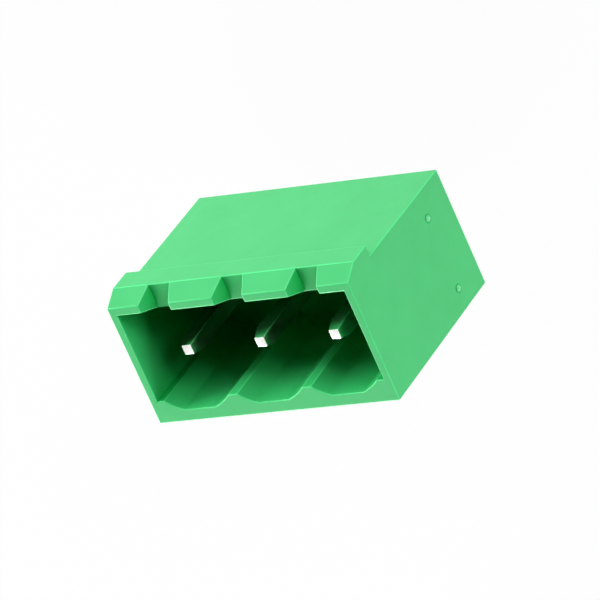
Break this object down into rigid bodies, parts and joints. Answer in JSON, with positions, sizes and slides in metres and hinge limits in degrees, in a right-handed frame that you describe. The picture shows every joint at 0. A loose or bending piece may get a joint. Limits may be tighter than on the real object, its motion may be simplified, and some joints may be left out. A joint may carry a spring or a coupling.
{
  "type": "pluggable terminal block header",
  "caption": "Upright board-mounted half of a pluggable terminal block: closed-end plastic housing with latch rib, coding notches and scalloped wall around a row of square pins.",
  "frame": {"origin": "on the board's surface, at the foot of the middle of the pin row", "axes": "+X along the pin row, +Y from the pins towards the wall with the latch rib, +Z away from the board, out of the mouth that takes the plug"},
  "size_m": [0.0167, 0.0085, 0.0159],
  "materials": {
    "housing_plastic": "moulded polyamide in light green, satin, with slightly rounded edges",
    "pin_metal": "bright tin plating over brass"
  },
  "bodies": {
    "root": {"housing": "housing_plastic", "pin_1": "pin_metal", "pin_2": "pin_metal", "pin_3": "pin_metal"}
  },
  "joints": []
}
